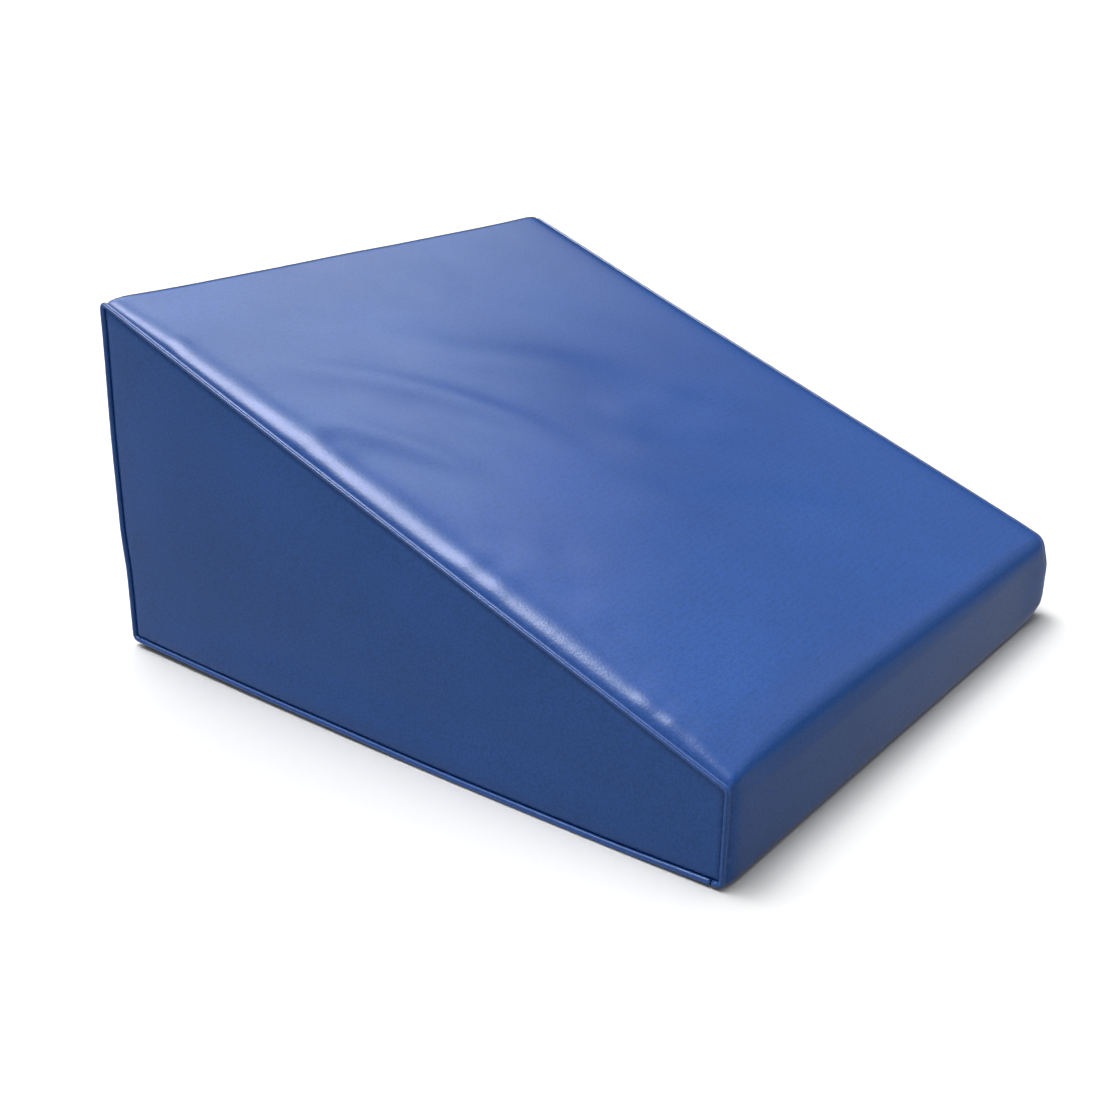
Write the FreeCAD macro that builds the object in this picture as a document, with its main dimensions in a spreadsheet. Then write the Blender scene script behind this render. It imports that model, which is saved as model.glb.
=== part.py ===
"""Incline wedge mat: a foam wedge in a sewn vinyl cover that zips open at the back.

The model's frame is +X across the mat, +Y from the low front to the high back and +Z up, with
its origin in the middle of the base, on the floor. Every size is in millimetres.

The cover is a wrap panel (front, ramp and back in one piece), two side panels, a lower back
panel and a grippy base panel. A corded welt stands proud along every edge of the side panels.
"""

import FreeCAD
import Part
import Sketcher
import math
import os
import re

LEFT, RIGHT = -1, 1
START, END, CENTRE = 1, 2, 3
ORIGIN = (-1, START)

DIMENSIONS = {
    "mat_length": (600, "front face to back face"),
    "mat_width": (570, "side face to side face"),
    "back_height": (300, "floor to the line of the ramp, at the back face"),
    "front_height": (73, "floor to the line of the ramp, at the front face"),
    "vinyl": (0.7, "thickness of the coated cloth"),
    "front_fold": (12, "radius of the wrap panel over the front edge"),
    "back_fold": (9, "radius of the wrap panel over the back edge"),
    "base_fold": (6, "radius of the panels that turn under the base"),
    "hem": (15, "width of the panels that turn under the base"),
    "core_gap": (0.8, "outer face of the cover to the foam"),
    "core_back_gap": (4, "outer face of the cover to the foam, behind the zip"),
    "core_front_round": (20, "radius of the foam's front edge"),
    "core_round": (13, "radius of the foam's other edges across the mat"),
    "core_side_round": (8, "radius of the foam's edges along its sides"),
    "welt_radius": (2.2, "outside of a welt"),
    "welt_bore": (1.55, "radius inside a welt's vinyl strip"),
    "cord_radius": (1.5, "cord inside a welt"),
    "welt_inset": (0.6, "face of the cover to the axis of a welt"),
    "welt_turn": (4, "radius in which a wrap welt turns under the base"),
    "welt_foot": (7.5, "how far a wrap welt reaches under the base"),
    "welt_space": (1.2, "end of a wrap welt to the end of a base welt"),
    "panel_gap": (2.9, "face of the cover to the edge of a panel beside a welt"),
    "side_foot": (4.5, "floor to the lower edge of a side panel"),
    "zip_height": (45, "floor to the middle of the zip"),
    "zip_opening": (10.4, "between the panel edges along the zip"),
    "chain_length": (516, "first tooth to last tooth of the upper row"),
    "tooth_pitch": (3, "tooth to tooth along one row"),
    "tooth_length": (1.4, "of a tooth along the zip"),
    "tooth_reach": (0.9, "of a tooth past the middle of the zip"),
    "tooth_root": (3, "middle of the zip to the far end of a tooth"),
    "tooth_depth": (2.4, "thickness of a tooth through the tape"),
    "tape_start": (1.2, "middle of the zip to the edge of a tape"),
    "tape_width": (14, "of each tape"),
    "tape_thickness": (0.5, "of each tape"),
    "stop_length": (2.4, "of an end stop along the zip"),
    "stop_gap": (0.6, "between the slider at the end of its travel and a stop"),
    "slider_length": (11, "of the slider along the zip"),
    "slider_mouth": (9.2, "width of the slider where the rows part"),
    "slider_tail": (7.8, "width of the slider where the rows are joined"),
    "slider_corner": (1.8, "radius of the slider's corners"),
    "slider_plate": (0.9, "thickness of each of the slider's plates"),
    "slider_cavity": (2.7, "between the slider's plates"),
    "slider_channel": (6.6, "between the slider's side walls"),
    "slider_slot": (0.9, "between the lips of the side walls, where a tape passes"),
    "slider_wall": (7, "length of the side walls, from the tail"),
    "post_length": (2.4, "of the post between the plates, along the zip"),
    "post_width": (1.8, "of the post"),
    "post_start": (1.1, "last tooth's middle to the post, with the zip closed"),
    "bail_length": (6.4, "of the loop on the slider, along the zip"),
    "bail_height": (3, "of the loop above the outer plate"),
    "bail_width": (2, "of the loop across the zip"),
    "bail_wall": (1.1, "of the loop's legs and top"),
    "pull_length": (24, "axis to tip"),
    "pull_neck": (5.2, "width of the pull at its bar"),
    "pull_tip": (7.4, "width of the pull at its tip"),
    "pull_thickness": (1.2, "of the pull, and of the bar that turns in the loop"),
    "pull_rise": (1, "outer plate to the axis of the pull"),
    "eye_length": (5.2, "axis of the pull to the far end of its eye"),
    "eye_width": (2.6, "of the pull's eye"),
    "hole_radius": (1.3, "of the finger hole's ends"),
}

doc = FreeCAD.newDocument("InclineWedgeMat")
sheet = doc.addObject("Spreadsheet::Sheet", "Dimensions")
subparts = []


# Expressions of the sheet's dimensions

def bind(text):
    """The expression in which each dimension's name reads its cell."""
    def cell(match):
        word = match.group()
        return "Dimensions." + word if word in DIMENSIONS else word
    return re.sub(r"[A-Za-z_]+", cell, str(text))


def value(text):
    """The number that an expression of dimensions comes to."""
    return float(sheet.evalExpression(bind(text)))


def fill_sheet():
    """One row for each dimension: what it is, then its size under its alias."""
    for row, (alias, (size, meaning)) in enumerate(DIMENSIONS.items(), start=1):
        sheet.set(f"A{row}", meaning)
        sheet.set(f"B{row}", str(size))
        sheet.setAlias(f"B{row}", alias)
    doc.recompute()


# Sketches and features

def new_body(label):
    """An empty sub-part. Its label is the name of its node."""
    body = doc.addObject("PartDesign::Body", label)
    body.Label = label
    subparts.append(body)
    return body


def new_sketch(body, plane, offset):
    """An empty sketch in one of the body's own planes, moved along that plane's normal."""
    sketch = body.newObject("Sketcher::SketchObject", body.Label + "_sketch")
    support = next(f for f in body.Origin.OriginFeatures if f.Role == plane)
    sketch.AttachmentSupport = [(support, "")]
    sketch.MapMode = "FlatFace"
    sketch.setExpression("AttachmentOffset.Base.z", bind(offset))
    return sketch


def constrain(sketch, kind, where, size):
    """A constraint whose size is an expression."""
    index = sketch.addConstraint(Sketcher.Constraint(kind, *where, value(size)))
    sketch.setExpression(f"Constraints[{index}]", bind(size))


def pin(sketch, point, x, y):
    """Holds a point of the sketch at a place given by two expressions."""
    constrain(sketch, "DistanceX", ORIGIN + point, x)
    constrain(sketch, "DistanceY", ORIGIN + point, y)


def draw_circle(sketch, x, y, radius):
    """A circle about a place given by two expressions."""
    centre = FreeCAD.Vector(value(x), value(y), 0)
    circle = sketch.addGeometry(Part.Circle(centre, FreeCAD.Vector(0, 0, 1), value(radius)), False)
    pin(sketch, (circle, CENTRE), x, y)
    constrain(sketch, "Radius", (circle,), radius)


def corner_arc(before, corner, after, radius):
    """The first, middle and last point of the arc that touches both runs that meet in a corner."""
    to_before = (before - corner).normalize()
    to_after = (after - corner).normalize()
    half = to_before.getAngle(to_after) / 2
    setback = radius / math.tan(half)
    inward = (to_before + to_after).normalize() * (radius / math.sin(half) - radius)
    return corner + to_before * setback, corner + inward, corner + to_after * setback


def draw_path(sketch, corners, closed=True):
    """Straight runs from corner to corner. A corner is (x, y) or, with an arc, (x, y, radius)."""
    count = len(corners)
    places = [FreeCAD.Vector(value(c[0]), value(c[1]), 0) for c in corners]
    arcs = {}
    for i, corner in enumerate(corners):
        if len(corner) == 3:
            around = (places[i - 1], places[i], places[(i + 1) % count])
            arcs[i] = corner_arc(*around, value(corner[2]))
    runs = []
    for i in range(count if closed else count - 1):
        after = (i + 1) % count
        first = arcs[i][2] if i in arcs else places[i]
        last = arcs[after][0] if after in arcs else places[after]
        runs.append(sketch.addGeometry(Part.LineSegment(first, last), False))
    for i, corner in enumerate(corners):
        if not closed and i == count - 1:
            pin(sketch, (runs[-1], END), *corner)
        elif not closed and i == 0:
            pin(sketch, (runs[0], START), *corner)
        elif i in arcs:
            join_by_arc(sketch, runs[i - 1], runs[i], arcs[i], places[i], corner)
        else:
            ends = (runs[i - 1], END, runs[i], START)
            sketch.addConstraint(Sketcher.Constraint("Coincident", *ends))
            pin(sketch, (runs[i], START), *corner)


def join_by_arc(sketch, run_in, run_out, arc_points, place, corner):
    """A tangent arc between two runs, whose lines meet in a pinned corner."""
    x, y, radius = corner
    arc = sketch.addGeometry(Part.Arc(*arc_points), False)
    entry, leave = START, END
    if sketch.getPoint(arc, START).distanceToPoint(arc_points[0]) > value(radius) / 1000:
        entry, leave = END, START
    point = sketch.addGeometry(Part.Point(place), True)
    pin(sketch, (point, START), x, y)
    sketch.addConstraint([
        Sketcher.Constraint("PointOnObject", point, START, run_in),
        Sketcher.Constraint("PointOnObject", point, START, run_out),
        Sketcher.Constraint("Tangent", run_in, END, arc, entry),
        Sketcher.Constraint("Tangent", run_out, START, arc, leave),
    ])
    constrain(sketch, "Radius", (arc,), radius)


# Each plane's normal, as the sign of the world axis that it lies along
NORMALS = {"XY_Plane": 1, "XZ_Plane": -1, "YZ_Plane": 1}


def add_pad(body, plane, draw, low, high):
    """A pad of what draw puts in its sketch, from low to high along the world axis of the plane."""
    offset = low if NORMALS[plane] > 0 else f"-({high})"
    sketch = new_sketch(body, plane, offset)
    draw(sketch)
    pad = body.newObject("PartDesign::Pad", body.Label + "_pad")
    pad.Profile = sketch
    pad.setExpression("Length", bind(f"({high}) - ({low})"))
    doc.recompute()
    return pad


def add_shape(body, plane, corners, low, high):
    """A pad of a closed outline of corners."""
    return add_pad(body, plane, lambda sketch: draw_path(sketch, corners), low, high)


def add_row(body, tooth, count):
    """Repeats the body's tooth along the zip."""
    row = body.newObject("PartDesign::LinearPattern", body.Label + "_row")
    row.Originals = [tooth]
    row.Direction = (next(f for f in body.Origin.OriginFeatures if f.Role == "X_Axis"), [""])
    row.Occurrences = count
    row.setExpression("Length", bind(f"{count - 1} * tooth_pitch"))
    body.Tip = row


def edges_where(feature, test):
    """The names of a feature's edges whose middle passes a test."""
    names = []
    for number, edge in enumerate(feature.Shape.Edges, start=1):
        middle = edge.valueAt((edge.FirstParameter + edge.LastParameter) / 2)
        if test(edge, middle):
            names.append(f"Edge{number}")
    return names


def add_fillet(body, feature, radius, test):
    """Rounds the feature's edges that pass a test."""
    fillet = body.newObject("PartDesign::Fillet", body.Label + "_fillet")
    fillet.Base = (feature, edges_where(feature, test))
    fillet.setExpression("Radius", bind(radius))
    doc.recompute()
    return fillet


# The wedge's outline in its side view, where x is the mat's Y and y is its Z

REAR = "mat_length / 2"
FRONT = "-mat_length / 2"
SLOPE = "((back_height - front_height) / mat_length)"


def ramp(y, inset="0"):
    """Height of the ramp's line over y, or of a line parallel to it and inset square to it."""
    return f"front_height + (({y}) + mat_length / 2) * {SLOPE} - ({inset}) * sqrt(1 + {SLOPE}^2)"


def wedge(inset, rear_inset, floor, front_round, back_round, base_round):
    """A closed wedge outline, inset from the cover's faces and raised from the floor."""
    front = f"{FRONT} + {inset}"
    rear = f"{REAR} - {rear_inset}"
    return [
        (front, floor, base_round),
        (front, ramp(front, inset), front_round),
        (rear, ramp(rear, inset), back_round),
        (rear, floor, base_round),
    ]


def sheet_outline(route):
    """A closed outline around a cloth whose outer face follows route(0, ...)."""
    return route("0") + route("vinyl")[::-1]


def wrap_route(inset):
    """From the zip up the back, down the ramp and the front, and in under the base."""
    rear = f"{REAR} - {inset}"
    front = f"{FRONT} + {inset}"
    return [
        (rear, "zip_height + zip_opening / 2"),
        (rear, ramp(rear, inset), f"back_fold - {inset}"),
        (front, ramp(front, inset), f"front_fold - {inset}"),
        (front, inset, f"base_fold - {inset}"),
        (f"{FRONT} + hem", inset),
    ]


def back_strip_route(inset):
    """From the zip down the back and in under the base."""
    rear = f"{REAR} - {inset}"
    return [
        (rear, "zip_height - zip_opening / 2"),
        (rear, inset, f"base_fold - {inset}"),
        (f"{REAR} - hem", inset),
    ]


# The foam and the cover

PANEL_SIDE = "mat_width / 2 - panel_gap"
WELT_SIDE = "mat_width / 2 - welt_inset"


def mirrored(side, near, far):
    """The low and high ends, along X, of a span that lies near to far from the middle."""
    return (near, far) if side == RIGHT else (f"-({far})", f"-({near})")


def make_foam_core():
    body = new_body("foam_core")
    half = "(mat_width / 2 - core_gap)"
    outline = wedge("core_gap", "core_back_gap", "core_gap",
                    "core_front_round", "core_round", "core_round")
    block = add_shape(body, "YZ_Plane", outline, f"-{half}", half)
    side = value(half)
    add_fillet(body, block, "core_side_round", lambda edge, at: abs(abs(at.x) - side) < 0.01)


def make_cover_panels():
    for label, route in (("wrap_panel", wrap_route), ("back_lower_panel", back_strip_route)):
        body = new_body(label)
        add_shape(body, "YZ_Plane", sheet_outline(route), f"-({PANEL_SIDE})", PANEL_SIDE)
    body = new_body("base_panel")
    flat = [(y, z) for y, z in (
        (f"{FRONT} + hem", "0"), (f"{REAR} - hem", "0"),
        (f"{REAR} - hem", "vinyl"), (f"{FRONT} + hem", "vinyl"))]
    add_shape(body, "YZ_Plane", flat, f"-({PANEL_SIDE})", PANEL_SIDE)
    for side, name in ((LEFT, "left"), (RIGHT, "right")):
        body = new_body(f"{name}_side_panel")
        outline = wedge("panel_gap", "panel_gap", "side_foot",
                        "front_fold - panel_gap", "back_fold - panel_gap", "welt_turn - vinyl")
        add_shape(body, "YZ_Plane", outline, *mirrored(side, "mat_width / 2 - vinyl", "mat_width / 2"))


def make_wrap_welt(side, label, radii):
    """A tube or a cord that runs under the back, over the ramp and in under the front."""
    body = new_body(label)
    x = WELT_SIDE if side == RIGHT else f"-({WELT_SIDE})"
    rear = f"{REAR} - welt_inset"
    front = f"{FRONT} + welt_inset"
    path = new_sketch(body, "YZ_Plane", x)
    draw_path(path, [
        (f"{REAR} - welt_foot", "welt_radius"),
        (rear, "welt_radius", "welt_turn"),
        (rear, ramp(rear, "welt_inset"), "back_fold - welt_inset"),
        (front, ramp(front, "welt_inset"), "front_fold - welt_inset"),
        (front, "welt_radius", "welt_turn"),
        (f"{FRONT} + welt_foot", "welt_radius"),
    ], closed=False)
    section = new_sketch(body, "XZ_Plane", f"-({REAR} - welt_foot)")
    for radius in radii:
        draw_circle(section, x, "welt_radius", radius)
    doc.recompute()
    pipe = body.newObject("PartDesign::AdditivePipe", label + "_pipe")
    pipe.Profile = section
    pipe.Spine = (path, [f"Edge{n + 1}" for n in range(len(path.Shape.Edges))])
    doc.recompute()


def make_base_welt(side, label, radii):
    """A tube or a cord along the bottom edge, between the feet of the wrap welt."""
    body = new_body(label)
    x = WELT_SIDE if side == RIGHT else f"-({WELT_SIDE})"
    reach = "(mat_length / 2 - welt_foot - welt_space)"

    def draw(sketch):
        for radius in radii:
            draw_circle(sketch, x, "welt_radius", radius)
    add_pad(body, "XZ_Plane", draw, f"-{reach}", reach)


def make_welts():
    layers = (("welt", ("welt_radius", "welt_bore")), ("welt_cord", ("cord_radius",)))
    for side, name in ((LEFT, "left"), (RIGHT, "right")):
        for layer, radii in layers:
            make_wrap_welt(side, f"{name}_wrap_{layer}", radii)
            make_base_welt(side, f"{name}_base_{layer}", radii)


# The zip. It lies across the back face, closed, with its slider at the +X end

UPPER, LOWER = 1, -1
TAPE_FACE = f"({REAR} - vinyl)"
CHAIN_MIDDLE = f"({TAPE_FACE} - tape_thickness / 2)"
LAST_TOOTH = "(chain_length / 2)"
MOUTH = f"({LAST_TOOTH} + post_start + post_length)"
TAIL = f"({MOUTH} - slider_length)"
INNER_PLATE = f"({CHAIN_MIDDLE} - slider_cavity / 2)"
OUTER_PLATE = f"({CHAIN_MIDDLE} + slider_cavity / 2)"
OUTER_FACE = f"({OUTER_PLATE} + slider_plate)"


def across(row, distance):
    """Height of a point at a distance from the zip's middle, toward one row's side."""
    return f"zip_height + ({row}) * ({distance})"


def clamp_outline(row, reach):
    """Section through a tooth or stop: a block from the middle of the zip, slotted for its tape."""
    outer = f"{CHAIN_MIDDLE} + tooth_depth / 2"
    inner = f"{CHAIN_MIDDLE} - tooth_depth / 2"
    tape_inner = f"{TAPE_FACE} - tape_thickness"
    return [
        (inner, across(row, reach)), (outer, across(row, reach)),
        (outer, across(row, "tooth_root")), (TAPE_FACE, across(row, "tooth_root")),
        (TAPE_FACE, across(row, "tape_start")), (tape_inner, across(row, "tape_start")),
        (tape_inner, across(row, "tooth_root")), (inner, across(row, "tooth_root")),
    ]


def make_zip_rows():
    upper_count = round(value("chain_length / tooth_pitch")) + 1
    for row, name in ((UPPER, "upper"), (LOWER, "lower")):
        body = new_body(f"zip_{name}_tape")
        tape = [(y, across(row, z)) for y, z in (
            (TAPE_FACE, "tape_start"), (TAPE_FACE, "tape_start + tape_width"),
            (f"{TAPE_FACE} - tape_thickness", "tape_start + tape_width"),
            (f"{TAPE_FACE} - tape_thickness", "tape_start"))]
        add_shape(body, "YZ_Plane", tape, f"-({PANEL_SIDE})", PANEL_SIDE)
        body = new_body(f"zip_{name}_teeth")
        first = f"-{LAST_TOOTH}" if row == UPPER else f"tooth_pitch / 2 - {LAST_TOOTH}"
        tooth = add_shape(body, "YZ_Plane", clamp_outline(row, "-tooth_reach"),
                          f"{first} - tooth_length / 2", f"{first} + tooth_length / 2")
        add_row(body, tooth, upper_count if row == UPPER else upper_count - 1)
        body = new_body(f"zip_{name}_stop")
        add_shape(body, "YZ_Plane", clamp_outline(row, "tape_start / 2"),
                  f"{MOUTH} + stop_gap", f"{MOUTH} + stop_gap + stop_length")


def make_bottom_stop():
    """The block that ties the tapes together where the open zip ends: a web and two plates."""
    body = new_body("zip_bottom_stop")
    outer = f"{CHAIN_MIDDLE} + tooth_depth / 2"
    inner = f"{CHAIN_MIDDLE} - tooth_depth / 2"
    tape_inner = f"{TAPE_FACE} - tape_thickness"
    high = [
        (outer, "tooth_root"), (TAPE_FACE, "tooth_root"), (TAPE_FACE, "tape_start"),
        (tape_inner, "tape_start"), (tape_inner, "tooth_root"), (inner, "tooth_root"),
    ]
    corners = [(y, across(UPPER, z)) for y, z in high]
    corners += [(y, across(LOWER, z)) for y, z in high[::-1]]
    end = f"-{LAST_TOOTH} - tooth_pitch"
    add_shape(body, "YZ_Plane", corners, f"{end} - stop_length", end)


def slider_outline():
    """The outline of the slider's plates in the back view, narrower at the tail."""
    tail, mouth = "slider_tail / 2", "slider_mouth / 2"
    return [
        (TAIL, across(LOWER, tail), "slider_corner"), (MOUTH, across(LOWER, mouth), "slider_corner"),
        (MOUTH, across(UPPER, mouth), "slider_corner"), (TAIL, across(UPPER, tail), "slider_corner"),
    ]


def make_slider():
    body = new_body("zip_slider")
    add_shape(body, "XZ_Plane", slider_outline(), OUTER_PLATE, OUTER_FACE)
    post = [(x, across(row, "post_width / 2")) for x, row in (
        (f"{MOUTH} - post_length", LOWER), (MOUTH, LOWER),
        (MOUTH, UPPER), (f"{MOUTH} - post_length", UPPER))]
    add_shape(body, "XZ_Plane", post, INNER_PLATE, OUTER_PLATE)
    add_shape(body, "XZ_Plane", slider_outline(), f"{INNER_PLATE} - slider_plate", INNER_PLATE)
    wall_start = f"{TAIL} + slider_corner"
    wall_end = f"{TAIL} + slider_wall"
    for row in (UPPER, LOWER):
        wall = [(x, across(row, z)) for x, z in (
            (wall_start, "slider_channel / 2"), (wall_end, "slider_channel / 2"),
            (wall_end, "slider_tail / 2"), (wall_start, "slider_tail / 2"))]
        lip = "slider_slot / 2"
        add_shape(body, "XZ_Plane", wall, f"{CHAIN_MIDDLE} + {lip}", OUTER_PLATE)
        add_shape(body, "XZ_Plane", wall, INNER_PLATE, f"{CHAIN_MIDDLE} - {lip}")
    add_bail(body)


def bail_middle():
    """Where, along X, the loop on the slider has its middle and the pull its axis."""
    return f"({MOUTH} - slider_length / 2)"


def add_bail(body):
    """The loop that the pull hangs from, which stands on the slider's outer plate."""
    def arch(half, height):
        return [
            (f"{bail_middle()} - {half}", OUTER_FACE),
            (f"{bail_middle()} - {half}", f"{OUTER_FACE} + {height}", "bail_wall"),
            (f"{bail_middle()} + {half}", f"{OUTER_FACE} + {height}", "bail_wall"),
            (f"{bail_middle()} + {half}", OUTER_FACE),
        ]
    inside = arch("(bail_length / 2 - bail_wall)", "(bail_height - bail_wall)")
    inside = [corner[:2] + (f"({corner[2]}) / 2",) if len(corner) == 3 else corner for corner in inside]
    corners = arch("(bail_length / 2)", "bail_height") + inside[::-1]
    add_shape(body, "XY_Plane", corners, "zip_height - bail_width / 2", "zip_height + bail_width / 2")


def make_pull():
    """A flat pull. It lies toward the closed teeth and turns about the bar at its neck."""
    body = new_body("zip_pull")
    axis = bail_middle()
    height = f"({OUTER_FACE} + pull_rise)"
    half = "pull_thickness / 2"

    def draw_plate(sketch):
        neck, tip, eye = "pull_neck / 2", "pull_tip / 2", "eye_width / 2"
        waist = f"{axis} - eye_length - 2 * eye_width"
        draw_path(sketch, [
            (axis, across(UPPER, neck)),
            (waist, across(UPPER, neck), "eye_length"),
            (f"{axis} - pull_length", across(UPPER, tip), "eye_width"),
            (f"{axis} - pull_length", across(LOWER, tip), "eye_width"),
            (waist, across(LOWER, neck), "eye_length"),
            (axis, across(LOWER, neck)),
            (axis, across(LOWER, eye)),
            (f"{axis} - eye_length", across(LOWER, eye), "eye_width / 3"),
            (f"{axis} - eye_length", across(UPPER, eye), "eye_width / 3"),
            (axis, across(UPPER, eye)),
        ])
        far = f"{axis} - pull_length + eye_width"
        near = f"{far} + 3 * hole_radius"
        corner = "hole_radius * 0.99"
        draw_path(sketch, [
            (far, across(LOWER, "hole_radius"), corner), (near, across(LOWER, "hole_radius"), corner),
            (near, across(UPPER, "hole_radius"), corner), (far, across(UPPER, "hole_radius"), corner),
        ])
    add_pad(body, "XZ_Plane", draw_plate, f"{height} - {half}", f"{height} + {half}")
    add_pad(body, "XY_Plane", lambda sketch: draw_circle(sketch, axis, height, half),
            across(LOWER, "pull_neck / 2"), across(UPPER, "pull_neck / 2"))


def check_and_write():
    """Stops unless every object is sound, then writes each sub-part's own file."""
    doc.recompute()
    for thing in doc.Objects:
        if {"Invalid", "Error"} & set(thing.State):
            raise RuntimeError(f"{thing.Label} failed: {thing.State}")
    os.makedirs("parts", exist_ok=True)
    for body in subparts:
        shape = body.Shape
        if shape.isNull() or not shape.isValid() or not shape.Solids:
            raise RuntimeError(f"{body.Label} has no sound solid")
        shape.exportStep(f"parts/{body.Label}.step")
        box = shape.optimalBoundingBox(False)
        print(f"{body.Label:22} {len(shape.Solids):4} solids {shape.Volume / 1000:11.3f} cm3"
              f"  x {box.XMin:.1f} {box.XMax:.1f}  y {box.YMin:.1f} {box.YMax:.1f}"
              f"  z {box.ZMin:.1f} {box.ZMax:.1f}")


fill_sheet()
make_foam_core()
make_cover_panels()
make_welts()
make_zip_rows()
make_bottom_stop()
make_slider()
make_pull()
check_and_write()
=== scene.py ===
import math

import bpy
import numpy as np
from mathutils import Matrix, Vector


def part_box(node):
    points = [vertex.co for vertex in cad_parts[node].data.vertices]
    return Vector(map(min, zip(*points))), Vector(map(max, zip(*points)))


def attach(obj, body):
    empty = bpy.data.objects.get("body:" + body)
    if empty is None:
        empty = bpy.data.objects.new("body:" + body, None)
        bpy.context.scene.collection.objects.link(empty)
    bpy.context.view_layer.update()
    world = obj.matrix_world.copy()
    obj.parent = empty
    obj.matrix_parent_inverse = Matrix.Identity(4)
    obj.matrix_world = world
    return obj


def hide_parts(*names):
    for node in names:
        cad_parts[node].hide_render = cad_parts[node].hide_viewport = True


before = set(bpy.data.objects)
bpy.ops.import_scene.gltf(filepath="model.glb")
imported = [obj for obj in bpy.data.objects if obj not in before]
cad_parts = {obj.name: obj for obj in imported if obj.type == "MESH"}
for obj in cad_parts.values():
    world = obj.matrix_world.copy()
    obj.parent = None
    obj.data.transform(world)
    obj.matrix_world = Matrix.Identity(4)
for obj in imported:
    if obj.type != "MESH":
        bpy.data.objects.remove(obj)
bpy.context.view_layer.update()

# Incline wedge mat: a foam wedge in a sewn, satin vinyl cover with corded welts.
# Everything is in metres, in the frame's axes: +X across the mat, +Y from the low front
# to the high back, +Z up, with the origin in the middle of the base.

MM = 0.001
LEFT, RIGHT = -1, 1
SIDES = ((LEFT, "left"), (RIGHT, "right"))

# Sizes of the design, from the frame where its boxes give them

HALF_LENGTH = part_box("wrap_panel")[1].y
HALF_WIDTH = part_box("right_side_panel")[1].x
BACK_HEIGHT = 300 * MM
FRONT_HEIGHT = 73 * MM
SLOPE = (BACK_HEIGHT - FRONT_HEIGHT) / (2 * HALF_LENGTH)
VINYL = 0.7 * MM
ZIP_HEIGHT = (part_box("zip_slider")[0].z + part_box("zip_slider")[1].z) / 2
ZIP_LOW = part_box("back_lower_panel")[1].z
ZIP_HIGH = 2 * ZIP_HEIGHT - ZIP_LOW
HEM = HALF_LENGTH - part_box("base_panel")[1].y
WELT_RADIUS = 2.2 * MM
WELT_BORE = 1.55 * MM
CORD_RADIUS = 1.5 * MM
WELT_INSET = 0.6 * MM
WELT_TURN = 4 * MM
WELT_FOOT = 7.5 * MM
WELT_SPACE = 1.2 * MM


# Small helpers

def smooth(x, low, high):
    """0 below low, 1 above high and a smooth step between them. low may be the larger one."""
    t = np.clip((np.asarray(x, float) - low) / (high - low), 0, 1)
    return t * t * (3 - 2 * t)


def bump(x, centre, width):
    """1 at the centre, falling to nothing about two widths away."""
    return np.exp(-(((np.asarray(x, float) - centre) / width) ** 2))


def along(x, *stops):
    """Smooth curve through (place, value) stops, level beyond the first and the last."""
    x = np.asarray(x, float)
    result = np.full(x.shape, float(stops[0][1]))
    for (x0, y0), (x1, y1) in zip(stops, stops[1:]):
        result = result + (y1 - y0) * smooth(x, x0, x1)
    return result


def wander(x, seed, reach):
    """A smooth uneven wave, about -1 to 1, whose longest part is about reach long."""
    rng = np.random.default_rng(seed)
    total = np.zeros(np.shape(x))
    for octave in range(4):
        phase = rng.uniform(0, 2 * math.pi)
        pitch = reach / (1 + 0.83 * octave)
        total = total + np.sin(2 * math.pi * np.asarray(x) / pitch + phase) / (1 + octave)
    return total / 2


def make_mesh(name, points, faces, shade_smooth=True):
    """A mesh object from points and faces."""
    mesh = bpy.data.meshes.new(name)
    mesh.from_pydata([tuple(p) for p in points], [], [tuple(f) for f in faces])
    mesh.update()
    if shade_smooth:
        mesh.polygons.foreach_set("use_smooth", [True] * len(mesh.polygons))
    piece = bpy.data.objects.new(name, mesh)
    bpy.context.scene.collection.objects.link(piece)
    return piece


def grid_faces(rows, columns, flip=False, start=0, closed=False):
    """Quads of a grid of rows x columns points. closed joins the last column to the first."""
    faces = []
    last = columns if closed else columns - 1
    for i in range(rows - 1):
        for j in range(last):
            a = start + i * columns + j
            b = start + i * columns + (j + 1) % columns
            quad = (a, b, b + columns, a + columns)
            faces.append(quad[::-1] if flip else quad)
    return faces


def grid_piece(name, grid, flip=False):
    """A mesh object from an array of rows x columns x 3."""
    rows, columns = grid.shape[:2]
    return make_mesh(name, grid.reshape(-1, 3), grid_faces(rows, columns, flip))


def thicken(piece, thickness):
    """Gives a sheet its thickness, inward from its outer face."""
    solid = piece.modifiers.new("thickness", "SOLIDIFY")
    solid.thickness = thickness
    solid.offset = -1
    solid.use_even_offset = False
    solid.use_quality_normals = False
    apply_modifiers(piece)


def apply_modifiers(piece):
    """Makes a piece's modifiers part of its mesh."""
    depsgraph = bpy.context.evaluated_depsgraph_get()
    depsgraph.update()
    shaped = bpy.data.meshes.new_from_object(piece.evaluated_get(depsgraph))
    piece.modifiers.clear()
    piece.data = shaped


def spaced(near_edge, low, high, step):
    """Places from low to high: near_edge's distances from both ends, and even steps between."""
    inner_low, inner_high = low + near_edge[-1], high - near_edge[-1]
    count = max(2, round((inner_high - inner_low) / step))
    middle = np.linspace(inner_low, inner_high, count + 1)[1:-1]
    return np.concatenate([low + near_edge, middle, (high - near_edge)[::-1]])


EDGE_STEPS = np.array([0, 0.4, 0.9, 1.4, 2, 2.7, 3.6, 4.7, 6.1, 7.9, 10.1, 12.8, 16, 20, 25, 31]) * MM


# How the filled cover settles: one field of shifts that every piece of the cover follows, so
# that panels and welts stay joined. The foam lifts the cover off its tailored shape, the seams
# bow between their corners, the corners at the floor curl up, and nothing moves round the zip.

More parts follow.
